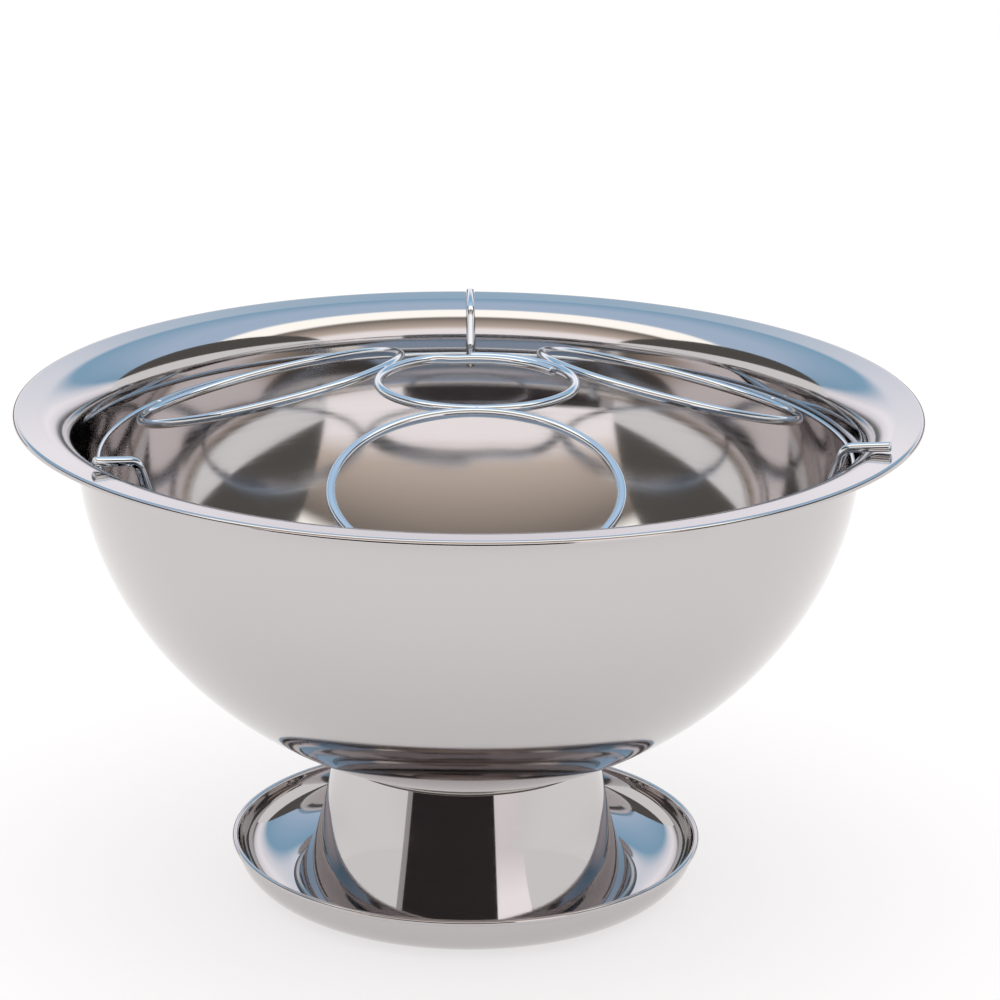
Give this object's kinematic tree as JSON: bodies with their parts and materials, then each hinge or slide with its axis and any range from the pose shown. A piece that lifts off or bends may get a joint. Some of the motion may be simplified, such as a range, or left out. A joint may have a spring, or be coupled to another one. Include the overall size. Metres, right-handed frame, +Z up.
{
  "type": "footed champagne bowl with bottle rack",
  "caption": "Wide round champagne bowl on a hollow stem and dished base tray, with a lift-out wire rack that holds bottles at a slant.",
  "frame": {"origin": "centre of the base tray's underside, on the table", "axes": "+Z up through the bowl, +X to the right and -Y to the front bottle ring"},
  "size_m": [0.38, 0.3799, 0.2234],
  "materials": {
    "bowl_steel": "mirror-polished stainless steel",
    "foot_steel": "mirror-polished stainless steel",
    "braze": "polished filler metal",
    "rack_wire": "bright-plated round wire"
  },
  "bodies": {
    "stand": {"bowl": "bowl_steel", "stem": "foot_steel", "base_tray": "foot_steel", "top_braze_ring": "braze", "foot_braze_ring": "braze"},
    "rack": {"hub_ring": "rack_wire", "perimeter_ring": "rack_wire", "bottle_ring_front": "rack_wire", "bottle_ring_right": "rack_wire", "bottle_ring_left": "rack_wire", "hook_back": "rack_wire", "hook_left": "rack_wire", "hook_right": "rack_wire"}
  },
  "joints": [
    {"name": "rack_lift", "type": "slide", "parent": "stand", "child": "rack", "axis": [0, 0, 1], "range_m": [0, 0.15]}
  ]
}
